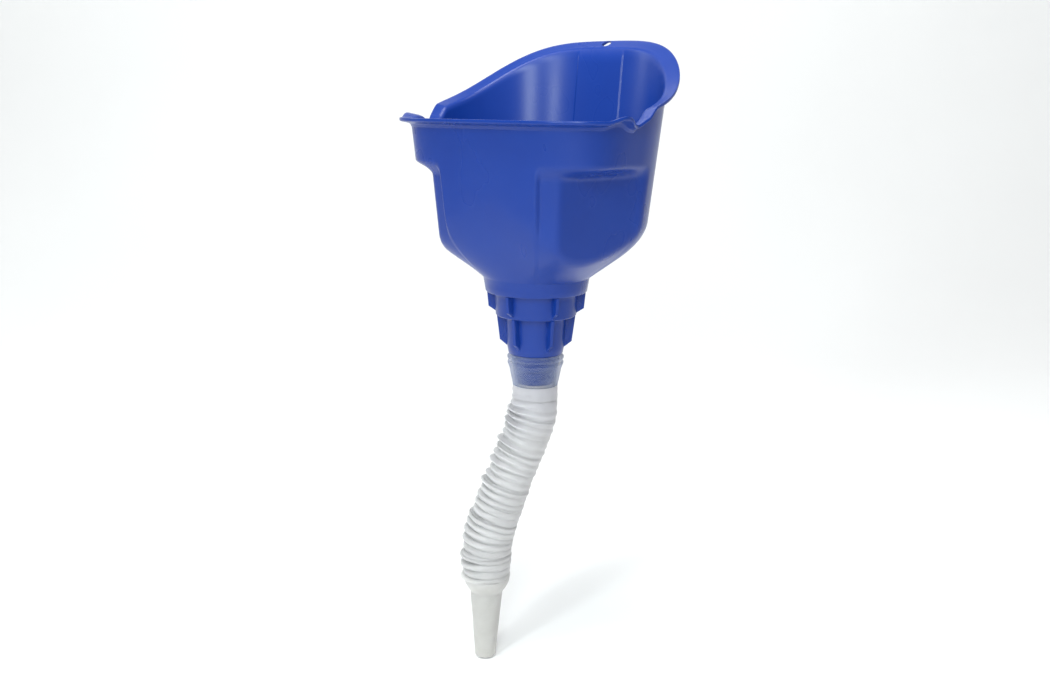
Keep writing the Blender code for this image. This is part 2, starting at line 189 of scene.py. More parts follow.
# Sections as (radius, z): the collar's about the neck, the nozzle's along the last piece
COLLAR_SECTION = [(16.7, -0.3), (17.3, -0.45), (17.5, -1.0), (17.9, -1.5), (18.35, -2.0),
                  (18.45, -2.7), (18.3, -3.4), (17.8, -4.0), (17.6, -4.5), (17.75, -5.1),
                  (18.15, -5.7), (18.25, -6.4), (18.1, -7.1), (17.7, -7.7), (17.5, -8.6),
                  (17.2, -9.4), (16.9, -10.2), (16.5, -12.3), (16.1, -14.6), (15.6, -16.9),
                  (15.1, -19.2), (14.85, -20.4), (14.8, -21.2), (14.0, -21.2), (13.3, -20.6),
                  (13.6, -19.2), (14.6, -12.0), (15.9, -3.0), (16.3, -0.8)]
NOZZLE_SECTION = [(15.0, -9.6), (15.5, -10.2), (15.7, -11.2), (15.5, -12.8), (15.0, -14.4),
                  (14.3, -16.0), (13.3, -17.8), (12.1, -19.5), (11.2, -20.9), (10.9, -21.6),
                  (10.8, -22.6), (10.5, -27.0), (9.7, -36.0), (8.8, -47.0), (7.9, -58.0),
                  (7.2, -66.5), (7.15, -68.2), (6.95, -68.8), (6.6, -69.0), (5.8, -69.0),
                  (5.6, -68.5), (6.8, -56.0), (8.6, -36.0), (9.5, -25.0), (9.8, -22.2),
                  (11.0, -19.4), (12.6, -16.6), (14.0, -13.4), (14.4, -11.6), (14.2, -10.2)]
# Colours down the milky plastic, placed from 0 at the neck's shoulder to 1 at the end height
# below. The spout's darker, bluer top under the collar is painted shade with a painted blue cast
# from the hopper, and the spout is darker and warmer again from the nozzle's shoulder down
TONE_AND_SHADE_END_Z = -220.0
SPOUT_TONES_AND_PAINTED_SHADE = [(0.10, (0.49, 0.475, 0.51)), (0.28, (0.575, 0.56, 0.56)),
               (0.68, (0.565, 0.55, 0.545)), (0.74, (0.51, 0.495, 0.47))]
COLLAR_TONES = [(0.0, (0.22, 0.26, 0.42)), (0.1, (0.24, 0.28, 0.42))]

# Camera; its azimuth is from the front of the low lip
FOCAL = 37.44
CAMERA_DISTANCE = 709.8
CAMERA_AZIMUTH = 35.0
CAMERA_PITCH = 12.1
CAMERA_ROLL = 0.66
AXIS_POINT = Vector((0.0, 0.0, 10.9))       # the camera's distance is from here
AIM_RIGHT = -7.0                # from there to the point it aims at, to its own right and up
AIM_UP = -9.4

# Studio
COOL = (0.90, 1.0, 1.0)
WHITE = (1.0, 1.0, 1.0)
LIGHT_AIM = Vector((0.0, 0.0, 150.0))
LIGHT_DISTANCE = 1500.0
# name, azimuth from the front of the low lip, elevation, width, height, watts, colour
SOFTBOXES = [("strip_front", 3.0, 22.0, 150.0, 850.0, 8.0, COOL),
             ("strip_camera", 31.0, 22.0, 270.0, 850.0, 11.5, COOL),
             ("strip_left", -74.0, 25.0, 200.0, 900.0, 3.0, COOL),
             ("overhead", 8.0, 76.0, 900.0, 900.0, 22.0, WHITE)]
MOUTH_LIGHT_SIZE = 120.0
MOUTH_LIGHT_Z = 265.0
MOUTH_LIGHT_WATTS = 0.09
WORLD_STRENGTH = 0.33
FLOOR_GAP = 1.0
FLOOR_NEAR = -3000.0
FLOOR_FLAT_END = 900.0
FLOOR_CURVE = 700.0
FLOOR_CURVE_STEPS = 16
BACKDROP_TOP = 5000.0
FLOOR_HALF_WIDTH = 5000.0


# --------------------------------------------------------------------------- helpers

def smooth_step(value, low, high):
    """0 up to low, 1 from high, and an S between them."""
    t = min(max((value - low) / (high - low), 0.0), 1.0)
    return t * t * (3 - 2 * t)


def smooth_min(a, b, width):
    """The smaller of two values, rounded where they are within width of each other."""
    blend = max(width - abs(a - b), 0.0) / width
    return min(a, b) - blend * blend * width / 4


def mix(a, b, t):
    return a + (b - a) * t


def turn_from_back(angle):
    """Degrees from the back, 0 to 180 on either side."""
    return abs(math.degrees(math.atan2(math.sin(angle), math.cos(angle))))


def new_piece(name, mesh, material):
    obj = bpy.data.objects.new(name, mesh)
    bpy.context.scene.collection.objects.link(obj)
    mesh.materials.append(material)
    return obj


def skin(name, rings, close_rows, material, sharp=None):
    """Mesh through rings of points; each ring closes on itself."""
    mesh = bpy.data.meshes.new(name)
    steps = len(rings[0])
    verts = [tuple(c * MM for c in point) for ring in rings for point in ring]
    faces = []
    spans = len(rings) if close_rows else len(rings) - 1
    for row in range(spans):
        start = row * steps
        below = ((row + 1) % len(rings)) * steps
        for step in range(steps):
            ahead = (step + 1) % steps
            faces.append((start + step, start + ahead, below + ahead, below + step))
    mesh.from_pydata(verts, [], faces)
    mesh.validate()
    mesh.update()
    mesh.shade_smooth()
    if sharp:
        mesh.set_sharp_from_angle(angle=math.radians(sharp))
    return new_piece(name, mesh, material)


# --------------------------------------------------------------------------- hopper

def plan_radius(angle):
    """Radius of the rim's plan, a superellipse that is squarer in front."""
    side = abs(math.sin(angle)) / HALF_WIDTH
    if math.cos(angle) > 0:
        power = BACK_SQUARENESS
        depth = math.cos(angle) / BACK_DEPTH
    else:
        power = FRONT_SQUARENESS
        depth = -math.cos(angle) / FRONT_DEPTH
    return (side ** power + depth ** power) ** (-1 / power)


def plane_radius(plane, angle):
    """Radius at which an angle meets an upright plane, or far out where it hardly does."""
    across, along, distance = plane
    facing = across * abs(math.sin(angle)) + along * math.cos(angle)
    return distance / facing if facing > 0.2 else 10 * distance


def grip_radius(angle, z):
    flat = plane_radius(GRIP_FLAT, angle)
    corner = plane_radius(GRIP_CORNER, angle)
    return smooth_min(flat, corner, GRIP_CORNER_ROUNDING) + GRIP_DRAFT * (z - GRIP_TOP_Z)


def grip_weight(angle, z):
    """1 within a grip and 0 elsewhere."""
    turn = turn_from_back(angle)
    around = smooth_step(turn, *GRIP_REAR) * (1 - smooth_step(turn, *GRIP_FRONT))
    return around * (1 - smooth_step(z, GRIP_TOP_Z, GRIP_SHELF_Z))


def hopper_radius(angle, z):
    """Radius of the outside of the wall at a level, with the grips pressed in."""
    plan = plan_radius(angle)
    wall = plan + DRAFT * (z - LOW_RIM_Z)
    wall_at_cone = plan + DRAFT * (CONE_TOP_Z - LOW_RIM_Z)
    slope = (wall_at_cone - NECK_RADIUS) / (CONE_TOP_Z - CONE_BOTTOM_Z)
    cone = NECK_RADIUS + slope * (z - CONE_BOTTOM_Z)
    plain = smooth_min(wall, cone, CONE_ROUNDING)
    gripped = smooth_min(plain, grip_radius(angle, z), GRIP_ROUNDING)
    # The grips' step fades out where the slope meets the neck
    sunk = min(GRIP_STEP, max(plain - NECK_RADIUS, 0.0) * 0.1)
    return max(plain + grip_weight(angle, z) * (gripped - plain - sunk), NECK_RADIUS)


def rim_height(angle):
    """Height of the rim: the low pouring end, an ear, a notch and the rise to the back."""
    turn = turn_from_back(angle)
    facing = max(math.cos(angle), 0.0)
    high = HIGH_RIM_Z
    for power, share in enumerate(RISE_SHAPE):
        high += BACK_RISE * share * facing ** (power + 1)
    # The high part drops into the notch, DROP_SHARE of it steeply
    drop = DROP_SHARE * smooth_step(turn, *DROP_STEEP)
    drop += (1 - DROP_SHARE) * smooth_step(turn, *DROP_GENTLE)
    if turn < NOTCH_ANGLE:
        return mix(high, NOTCH_Z, drop)
    ear = EAR_RISE * (1 - smooth_step(abs(turn - EAR_ANGLE), 0.0, EAR_REACH))
    climb = smooth_step(turn, NOTCH_ANGLE, NOTCH_ANGLE + EAR_REACH)
    return mix(NOTCH_Z, LOW_RIM_Z + ear, climb)


def flange_width(angle):
    turn = turn_from_back(angle)
    ear = 1 - smooth_step(abs(turn - EAR_ANGLE), 0.0, EAR_SPREAD)
    notch = 1 - smooth_step(abs(turn - NOTCH_ANGLE), 0.0, NOTCH_SPREAD)
    return FLANGE * (1 + EAR_WIDENING * ear - NOTCH_NARROWING * notch)


def flange_flare(angle):
    """How far the lip rises over its width."""
    towards_back = smooth_step(math.cos(angle), -0.2, 0.9)
    return mix(FLARE_FRONT, FLARE_BACK, towards_back)


def fin_weight(angle, radius):
    """1 on a fin and 0 between fins, falling over a small fillet."""
    degrees = 90.0 - math.degrees(angle)
    off = (degrees - FIN_START + FIN_SPACING / 2) % FIN_SPACING - FIN_SPACING / 2
    across = abs(math.radians(off)) * radius
    return 1 - smooth_step(across, FIN_HALF - 0.25, FIN_HALF + 0.3)


def fin_radius(z):
    """Outer edge of the fins at a height, or nothing between the tiers."""
    for line in FIN_TIERS:
        if line[-1][1] <= z <= line[0][1]:
            for (r0, z0), (r1, z1) in zip(line, line[1:]):
                if z1 <= z <= z0:
                    return mix(r0, r1, (z0 - z) / (z0 - z1))
    return 0.0


def columns():
    """Angles round the funnel, closer at the fins, notches, grip ends and panel edges."""
    angles = [1.5 * step for step in range(240)]
    for index in range(FIN_COUNT):
        middle = (90.0 - FIN_START - FIN_SPACING * index) % 360
        angles += [(middle + 0.35 * step) % 360 for step in range(-12, 13)]
    # Middle and spacing of each band, and its steps before and after the middle
    bands = [(NOTCH_ANGLE, 0.5, 30, 29), (PANEL_EDGE_TURN, 0.3, 8, 8),
             (sum(GRIP_REAR) / 2, 0.5, 9, 9), (sum(GRIP_FRONT) / 2, 0.4, 9, 9)]
    for side in (-1, 1):
        for middle, spacing, before, after in bands:
            angles += [(side * (middle + spacing * step)) % 360
                       for step in range(-before, after + 1)]
    angles = sorted(angles)
    kept = [angles[0]]
    for angle in angles[1:]:
        if angle - kept[-1] > 0.12:
            kept.append(angle)
    return [math.radians(angle) for angle in kept]


def ring_at(angles, place):
    """Ring of points from a function that gives the radius and z at an angle."""
    ring = []
    for angle in angles:
        radius, z = place(angle)
        ring.append((radius * math.sin(angle), radius * math.cos(angle), z))
    return ring


def lip_place(out, up, from_edge):
    """A point of the rim's lip: out from the wall or back from the lip's edge."""
    def place(angle):
        rim = rim_height(angle)
        width = flange_width(angle)
        reach = width + out if from_edge else out
        rise = flange_flare(angle) * max(reach, 0.0) / FLANGE
        return hopper_radius(angle, rim) + reach, rim + rise + up
    return place


def lip_places():
    """The lip's section, over its top from the inside and back under its edge."""
    edge = -FLANGE_EDGE
    section = [(-1.75, -1.8, False), (-1.35, -0.9, False), (-0.6, -0.25, False),
               (0.5, 0.0, False), (1.8, 0.05, False),
               (-2.0, 0.0, True), (-0.7, 0.0, True), (-0.25, -0.15, True),
               (-0.05, -0.5, True), (0.0, -1.0, True), (0.0, -1.5, True),
               (-0.1, edge + 0.35, True), (-0.4, edge + 0.08, True), (-0.9, edge, True),
               (1.6, edge, False), (0.7, edge - 0.2, False), (0.2, edge - 0.7, False),
               (0.0, edge - FLANGE_FILLET, False)]
    return [lip_place(*point) for point in section]


def wall_place(z, fraction=None):
    """Outside of the wall at a level, or part of the way down to it from the lip."""
    def place(angle):
        height = z
        if fraction is not None:
            height = mix(rim_height(angle) - FLANGE_EDGE - FLANGE_FILLET, z, fraction)
        return hopper_radius(angle, height), height
    return place


def panel_relief(angle, radius, z):
    """How far the raised panel stands in from the back wall."""
    if math.cos(angle) <= 0:
        return 0.0
    across = abs(radius * math.sin(angle))
    inside = 1 - smooth_step(across, PANEL_HALF - 0.5, PANEL_HALF + 0.5)
    return PANEL_RISE * inside * smooth_step(z, PANEL_BOTTOM, PANEL_BOTTOM + 5.0)


def inner_place(z, fraction=None):
    """Inside of the wall, as wall_place, with the panel and a thicker slope."""
    def place(angle):
        height = z
        top = rim_height(angle)
        if fraction is not None:
            height = mix(top - LIP_DEPTH, z, fraction)
        radius = hopper_radius(angle, height) - WALL
        fade = smooth_step(top - height, LIP_DEPTH, 2 * LIP_DEPTH)
        radius -= fade * panel_relief(angle, radius, height)
        thick = SLOPE_WALL * smooth_step(SLOPE_TOP_Z - height, 0.0, SLOPE_FADE)
        return radius, height + thick
    return place


def neck_place(base, z):
    """Outside of the neck: the base radius between fins and the fin's edge on them."""
    def place(angle):
        fin = fin_radius(z)
        if fin <= base:
            return base, z
        return mix(base, fin, fin_weight(angle, fin)), z
    return place


def spigot_points():
    points = []
    for index in range(SPIGOT_STEPS):
        z = -index * BARB_PITCH
        here = mix(SPIGOT_TOP_RADIUS, SPIGOT_END_RADIUS, -z / SPIGOT_LENGTH)
        if index:
            points += [(here + 0.35, z + 0.4), (here + 0.55, z), (here + 0.35, z - 0.4)]
        points += [(here - 0.1, z - 0.9), (here - 0.35, z - 2.5), (here - 0.3, z - 3.6)]
    points += [(SPIGOT_END_RADIUS, -19.4), (SPIGOT_END_RADIUS - 0.4, -SPIGOT_LENGTH)]
    points += [(SPIGOT_END_RADIUS - 1.6, -SPIGOT_LENGTH), (10.7, -19.6)]
    return points


def funnel_rings(angles):
    """Rings over the lip, down the outside to the spigot's end and up the inside."""
    places = lip_places()
    places += [wall_place(WALL_TOP_Z, row / RIM_ROWS) for row in range(1, RIM_ROWS + 1)]
    places += [wall_place(float(z)) for z in WALL_LEVELS]
    places += [neck_place(radius, z) for radius, z in NECK_OUTER]
    places += [lambda angle, r=r, z=z: (r, z) for r, z in spigot_points() + NECK_INNER]
    places += [inner_place(float(z)) for z in WALL_LEVELS[::-1] if z > INNER_BOTTOM_Z]
    places += [inner_place(WALL_TOP_Z, row / RIM_ROWS) for row in range(RIM_ROWS, -1, -1)]
    return [ring_at(angles, place) for place in places]


def cut_hole(piece):
    """Hanging hole through the lip at the back."""
    rim = rim_height(0.0)
    rise = 0.5 * flange_flare(0.0)
    middle = (0.0, (hopper_radius(0.0, rim) + 0.5 * FLANGE) * MM, (rim + rise) * MM)
    tilt = Matrix.Rotation(math.radians(HOLE_TILT), 4, "X")
    builder = bmesh.new()
    bmesh.ops.create_cone(builder, cap_ends=True, segments=48, radius1=HOLE_RADIUS * MM,
                          radius2=HOLE_RADIUS * MM, depth=HOLE_TOOL_DEPTH * MM,
                          matrix=Matrix.Translation(middle) @ tilt)
    mesh = bpy.data.meshes.new("hole_tool")
    builder.to_mesh(mesh)
    builder.free()
    tool = bpy.data.objects.new("hole_tool", mesh)
    bpy.context.scene.collection.objects.link(tool)
    modifier = piece.modifiers.new("hole", "BOOLEAN")
    modifier.operation = "DIFFERENCE"
    modifier.object = tool
    bpy.context.view_layer.update()
    graph = bpy.context.evaluated_depsgraph_get()
    cut = bpy.data.meshes.new_from_object(piece.evaluated_get(graph))
    piece.modifiers.clear()
    piece.data = cut
    bpy.data.objects.remove(tool)
    cut.set_sharp_from_angle(angle=math.radians(40))


def build_funnel(material):
    piece = skin("hopper_moulding", funnel_rings(columns()), True, material, 40)
    cut_hole(piece)
    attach(piece, "funnel")
    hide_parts("funnel_body")


# --------------------------------------------------------------------------- strainer

def turned_rings(points, steps, matrix=None):
    """Rings of a turned shape from the (radius, z) points of its section."""
    rings = []
    for radius, z in points:
        ring = []
        for step in range(steps):
            angle = 2 * math.pi * step / steps
            point = Vector((radius * math.sin(angle), radius * math.cos(angle), z))
            ring.append(matrix @ point if matrix else point)
        rings.append(ring)
    return rings


def wire_rings(start, end, phase):
    """Rings of a thin wire that weaves up and down between two points."""
    length = (end - start).length
    along = (end - start).normalized()
    side = along.cross(Vector((0, 0, 1)))
    steps = max(int(length / WIRE_PITCH * 3), 4)
    rings = []
    for step in range(steps + 1):
        place = start + along * (length * step / steps)
        travel = place.dot(along) / WIRE_PITCH
        place.z += 0.8 * WIRE_RADIUS * math.cos(math.pi * (travel + phase))
        ring = []
        for corner in range(WIRE_CORNERS):
            turn = 2 * math.pi * corner / WIRE_CORNERS
            offset = side * math.cos(turn) + Vector((0, 0, math.sin(turn)))
            ring.append(place + offset * WIRE_RADIUS)
        rings.append(ring)
    return rings


def add_wire(verts, faces, rings):
    """Adds a closed wire through the rings to a mesh's lists."""
    first = len(verts)
    verts += [tuple(p * MM) for ring in rings for p in ring]
    for row in range(len(rings) - 1):
        for step in range(WIRE_CORNERS):
            a = first + row * WIRE_CORNERS + step
            b = first + row * WIRE_CORNERS + (step + 1) % WIRE_CORNERS
            faces.append((a, a + WIRE_CORNERS, b + WIRE_CORNERS, b))
    last = first + (len(rings) - 1) * WIRE_CORNERS
    faces.append(tuple(first + step for step in range(WIRE_CORNERS)))
    faces.append(tuple(last + step for step in range(WIRE_CORNERS - 1, -1, -1)))


def build_gauze(material):
    verts = []
    faces = []
    reach = int(GAUZE_RADIUS / WIRE_PITCH)
    for across in (Vector((1, 0, 0)), Vector((0, 1, 0))):
        other = Vector((across.y, across.x, 0))
        for index in range(-reach, reach + 1):
            offset = index * WIRE_PITCH
            # Wires stop just inside the rim, and the shortest are left out
            half = math.sqrt(max(GAUZE_RADIUS ** 2 - offset ** 2, 0.0)) - WIRE_END_GAP
            if half < SHORTEST_HALF_WIRE:
                continue
            centre = other * offset + Vector((0, 0, GAUZE_Z))
            phase = index + (1 if across.y else 0)
            add_wire(verts, faces,
                     wire_rings(centre - across * half, centre + across * half, phase))
    mesh = bpy.data.meshes.new("woven_gauze")
    mesh.from_pydata(verts, [], faces)
    mesh.update()
    mesh.shade_smooth()
    piece = new_piece("woven_gauze", mesh, material)
    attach(piece, "strainer")
    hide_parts("strainer_gauze")


def rounded(value):
    """Turns a circle's sine or cosine into that of a rounded square."""
    return math.copysign(abs(value) ** 0.5, value)


def bar_rings(angle):
    """Rounded bar across the strainer, as rings of its section along its length."""
    along = Vector((math.cos(angle), math.sin(angle), 0))
    side = Vector((-along.y, along.x, 0))
    rings = []
    for step in range(BAR_STEPS + 1):
        place = along * (BAR_HALF_LENGTH * (2 * step / BAR_STEPS - 1))
        ring = []
        for corner in range(BAR_CORNERS):
            turn = 2 * math.pi * corner / BAR_CORNERS
            wide = BAR_HALF_WIDTH * rounded(math.cos(turn))
            high = STRAINER_Z + BAR_HALF_HEIGHT * (1 + rounded(math.sin(turn)))
            ring.append(place + side * wide + Vector((0, 0, high)))
        rings.append(ring)
    return rings


def build_strainer(material):
    section = [(radius, STRAINER_Z + height) for radius, height in STRAINER_SECTION]
    piece = skin("strainer_ring", turned_rings(section, TURNED_STEPS), True, material, 40)
    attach(piece, "strainer")
    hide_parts("strainer_frame")
    for index, angle in enumerate((math.radians(45), math.radians(135))):
        name = f"strainer_bar_{index + 1}"
        bar = skin(name, bar_rings(angle), False, material)
        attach(bar, "strainer")


# --------------------------------------------------------------------------- spout

def chain():
    """Places of the CAD chain's joints and the direction of each piece."""
    place = Vector((0, 0, CHAIN_TOP_Z))
    stations = []
    for lean in LEAN:
        turn = math.radians(lean)
        run = BEND_DIRECTION * math.sin(turn) + Vector((0, 0, -math.cos(turn)))
        stations.append((place.copy(), run))
        place = place + run * RING_LENGTH
    return stations


STATIONS = chain()


def centre_point(s):
    """Point of the chain's own centre line, straight between its joints."""
    if s <= 0:
        return Vector((0, 0, CHAIN_TOP_Z - s * RING_LENGTH))
    index = min(int(s), len(STATIONS) - 1)
    place, run = STATIONS[index]
    return place + run * (RING_LENGTH * (s - index))


def smooth_point(s):
    """Centre line rounded over the joints, so that the bellows bends evenly."""
    total = Vector((0, 0, 0))
    for step in range(-SMOOTHING_STEPS, SMOOTHING_STEPS + 1):
        total += centre_point(s + step * SMOOTHING_SPACING)
    return total / (2 * SMOOTHING_STEPS + 1)


def section_frame(s):
    """Place and axes of the spout's cross section."""
    place = smooth_point(s)
    run = (smooth_point(s + 0.05) - smooth_point(s - 0.05)).normalized()
    side = ACROSS_BEND.cross(run).normalized()
    across = run.cross(side).normalized()
    return place, side, across


def tube_rings(stations):
    """Rings of a bent tube from (s, radius function) pairs."""
    rings = []
    for s, radius_at in stations:
        place, side, across = section_frame(s)
        ring = []
        for step in range(TUBE_STEPS):
            angle = 2 * math.pi * step / TUBE_STEPS
            out = side * math.cos(angle) + across * math.sin(angle)
            ring.append(place + out * radius_at(angle))
        rings.append(ring)
    return rings


def bellows_radius(s, angle, inner):
    """Uneven convolutions: deep on the left of the lean, shallow on its right."""
    # Each fold runs a little askew round the tube
    skew = 0.10 * math.sin(angle + 1.3 * s) + 0.05 * math.sin(3 * angle + 2.1 * s)
    wave = s * CONVOLUTIONS_PER_RING + skew
    near = round(wave)
    offset = abs(wave - near) * 2
    # No two folds have the same depth
    uneven = 1 + 0.26 * math.sin(2.3 * near + 1.7) + 0.16 * math.sin(5.1 * near)
    uneven += 0.16 * math.sin(angle * 2 + 1.9 * near)
    # The folds are deep on one side and grow from the plain top of the tube
    left = smooth_step(-math.cos(angle), -0.2, 1.0)
    grown = smooth_step(s, 0.2, 1.5)
    depth = mix(0.7, 3.0, left) * mix(0.16, 1.0, grown) * max(uneven, 0.4)
    # Crests are sharp near the neck and round near the nozzle
    crest_shape = 1 - offset ** mix(0.9, 2.2, smooth_step(s, 4.0, 6.5))
    # The tube swells a little near the nozzle, and its wall isn't quite round
    bulge = 0.7 * math.exp(-((s - 8.9) / 1.2) ** 2)
    valley = mix(14.7, mix(15.0, 14.2, left), grown) + bulge
    dent = 0.22 * math.sin(2 * angle + 0.9 * s) + 0.15 * math.sin(3 * angle - 1.7 * s)
    radius = valley + dent * grown + depth * crest_shape
    return radius - (SPOUT_WALL if inner else 0.0)


def bellows_stations(start, end):
    """(s, radius function) pairs down the outside of a stretch and back up its inside."""
    steps = int(round((end - start) * CONVOLUTIONS_PER_RING * STEPS_PER_CONVOLUTION))
    outer = []
    inner = []
    for step in range(steps + 1):
        s = start + (end - start) * step / steps
        outer.append((s, lambda angle, s=s: bellows_radius(s, angle, False)))
        inner.append((s, lambda angle, s=s: bellows_radius(s, angle, True)))
    return outer + inner[::-1]


def build_bellows(material):
    """One piece for each joint, from the middle of one ring to the middle of the next."""
    for index in range(1, RINGS + 1):
        start = index - 0.5
        end = index + 0.5 if index < RINGS else BELLOWS_END_S
        name = f"bellows_{index:02d}"
        rings = tube_rings(bellows_stations(start, end))
        piece = skin(name, rings, True, material)
        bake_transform(piece)
        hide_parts(f"bellows_ring_{index:02d}")


def build_neck_of_bellows(material):
    """Top of the bellows, from the collar's end to the middle of the first ring."""
    outer = []
    inner = []
    for step in range(BELLOWS_TOP_STEPS + 1):
        s = BELLOWS_TOP_S + (0.5 - BELLOWS_TOP_S) * step / BELLOWS_TOP_STEPS
        join = smooth_step(s, -0.1, 0.15)
        outer.append((s, lambda angle, s=s, join=join:
                      mix(BELLOWS_TOP_RADIUS, bellows_radius(s, angle, False), join)))
        inner.append((s, lambda angle, s=s, join=join:
                      mix(BELLOWS_TOP_RADIUS - SPOUT_WALL, bellows_radius(s, angle, True),
                          join)))
    piece = skin("bellows_top", tube_rings(outer + inner[::-1]), True, material)
    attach(piece, "ring_01")


def build_collar(material):
    rings = turned_rings(COLLAR_SECTION, TURNED_STEPS)
    piece = skin("collar_skin", rings, True, material, 50)
    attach(piece, "collar")
    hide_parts("spout_collar")


def build_nozzle(material):
    """Tapered nozzle below the bellows, straight along the last piece's run."""
    place, run = STATIONS[-1]
    side = ACROSS_BEND.cross(-run).normalized()
    turn = Matrix((side, ACROSS_BEND, -run)).transposed().to_4x4()
    matrix = Matrix.Translation(place) @ turn
    rings = turned_rings(NOZZLE_SECTION, TUBE_STEPS, matrix)
    piece = skin("nozzle_taper", rings, True, material, 50)
    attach(piece, "nozzle")
    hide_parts("spout_nozzle")


# --------------------------------------------------------------------------- materials

def node(tree, kind, **values):
    made = tree.nodes.new(kind)
    for key, value in values.items():
        setattr(made, key, value)
    return made


def new_material(name):
    material = bpy.data.materials.new(name)
    material.use_nodes = True
    tree = material.node_tree
    return material, tree, tree.nodes["Principled BSDF"]


def noise_node(tree, scale, detail, roughness=0.5, stretch=(1, 1, 1)):
    coordinates = node(tree, "ShaderNodeTexCoord")
    mapping = node(tree, "ShaderNodeMapping")
    mapping.inputs["Scale"].default_value = stretch
    texture = node(tree, "ShaderNodeTexNoise")
    texture.inputs["Scale"].default_value = scale
    texture.inputs["Detail"].default_value = detail
    texture.inputs["Roughness"].default_value = roughness
    tree.links.new(coordinates.outputs["Object"], mapping.inputs["Vector"])
    tree.links.new(mapping.outputs["Vector"], texture.inputs["Vector"])
    return texture


def ramp(tree, source, stops):
    made = node(tree, "ShaderNodeValToRGB")
    elements = made.color_ramp.elements
    while len(elements) < len(stops):
        elements.new(0.5)
    for element, (place, colour) in zip(elements, stops):
        element.position = place
        element.color = (*colour, 1.0)
    tree.links.new(source, made.inputs["Fac"])
    return made


def map_range(tree, source, low, high, to_low, to_high):
    made = node(tree, "ShaderNodeMapRange")
    made.inputs["From Min"].default_value = low
    made.inputs["From Max"].default_value = high
    made.inputs["To Min"].default_value = to_low
    made.inputs["To Max"].default_value = to_high
    tree.links.new(source, made.inputs["Value"])
    return made


def bump(tree, source, strength, distance):
    made = node(tree, "ShaderNodeBump")
    made.inputs["Strength"].default_value = strength
    made.inputs["Distance"].default_value = distance
    tree.links.new(source, made.inputs["Height"])
    return made


def blue_plastic():
    material, tree, shader = new_material("blue_moulded_polythene")
    cloud = noise_node(tree, 28.0, 4.0)
    colour = ramp(tree, cloud.outputs["Fac"],
                  [(0.0, (0.0040, 0.028, 0.213)), (1.0, (0.0060, 0.038, 0.258))])
    tree.links.new(colour.outputs["Color"], shader.inputs["Base Color"])
    smear = noise_node(tree, 40.0, 2.0, 0.5, (1, 1, 0.5))
    rough = map_range(tree, smear.outputs["Fac"], 0.0, 1.0, 0.22, 0.36)
    tree.links.new(rough.outputs["Result"], shader.inputs["Roughness"])
    grain = noise_node(tree, 320.0, 2.0)
    grained = bump(tree, grain.outputs["Fac"], 0.05, 0.0002)
    tree.links.new(grained.outputs["Normal"], shader.inputs["Normal"])
    shader.inputs["Specular IOR Level"].default_value = 0.30
    shader.inputs["IOR"].default_value = 1.5
    return material


def milky_plastic(name, tones_and_shade, clear):
    """Natural polythene; clear is how much light passes straight through, face on."""
    material, tree, shader = new_material(name)
    cloud = noise_node(tree, 70.0, 5.0, 0.6)
    shade = ramp(tree, cloud.outputs["Fac"], [(0.3, (0.93,) * 3), (0.7, (1.05,) * 3)])
    height = node(tree, "ShaderNodeSeparateXYZ")
    coordinates = node(tree, "ShaderNodeTexCoord")
    tree.links.new(coordinates.outputs["Object"], height.inputs["Vector"])
    # Colour set by height: on the spout this paints shade, tinted blue, on its top under the
    # collar
    depth = map_range(tree, height.outputs["Z"], 0.0, TONE_AND_SHADE_END_Z * MM, 0.0, 1.0)
    tone = ramp(tree, depth.outputs["Result"], tones_and_shade)
    colour = node(tree, "ShaderNodeVectorMath", operation="MULTIPLY")
    tree.links.new(tone.outputs["Color"], colour.inputs[0])
    tree.links.new(shade.outputs["Color"], colour.inputs[1])
    tree.links.new(colour.outputs["Vector"], shader.inputs["Base Color"])
    smear = noise_node(tree, 140.0, 5.0)
    rough = map_range(tree, smear.outputs["Fac"], 0.3, 0.7, 0.28, 0.44)
    tree.links.new(rough.outputs["Result"], shader.inputs["Roughness"])
    grain = noise_node(tree, 420.0, 4.0, 0.6)
    bumped = bump(tree, grain.outputs["Fac"], 0.02 if clear else 0.15, 0.0005)
    tree.links.new(bumped.outputs["Normal"], shader.inputs["Normal"])
    shader.inputs["IOR"].default_value = 1.5
    if clear:
        edge = node(tree, "ShaderNodeLayerWeight")
        edge.inputs["Blend"].default_value = 0.5
        cover = map_range(tree, edge.outputs["Facing"], 0.0, 1.0, 1.0 - clear, 0.9)
        tree.links.new(cover.outputs["Result"], shader.inputs["Alpha"])
    else:
        shader.inputs["Subsurface Weight"].default_value = 0.85
        shader.inputs["Subsurface Radius"].default_value = (1.0, 1.0, 0.95)
        shader.inputs["Subsurface Scale"].default_value = 0.006
    return material


def mottled(name, cloud_scale, detail, dark, light, smooth, coarse, grain_scale, grain_depth):
    """Surface whose tone and roughness follow one cloud, with a fine grain over it."""
    material, tree, shader = new_material(name)
    cloud = noise_node(tree, cloud_scale, detail)
    colour = ramp(tree, cloud.outputs["Fac"], [(0.3, dark), (0.7, light)])
    tree.links.new(colour.outputs["Color"], shader.inputs["Base Color"])
    rough = map_range(tree, cloud.outputs["Fac"], 0.3, 0.7, smooth, coarse)
    tree.links.new(rough.outputs["Result"], shader.inputs["Roughness"])
    grain = noise_node(tree, grain_scale, 3.0)
    bumped = bump(tree, grain.outputs["Fac"], 0.1, grain_depth)
    tree.links.new(bumped.outputs["Normal"], shader.inputs["Normal"])
    return material


def white_plastic():
    return mottled("white_strainer_plastic", 80.0, 4.0, (0.72, 0.72, 0.69),
                   (0.80, 0.80, 0.78), 0.35, 0.5, 700.0, 0.0003)


def brass_wire():
    material = mottled("brass_wire", 120.0, 5.0, (0.45, 0.30, 0.12),
                       (0.66, 0.50, 0.24), 0.28, 0.5, 1500.0, 0.0001)
    shader = material.node_tree.nodes["Principled BSDF"]
    shader.inputs["Metallic"].default_value = 1.0
    return material


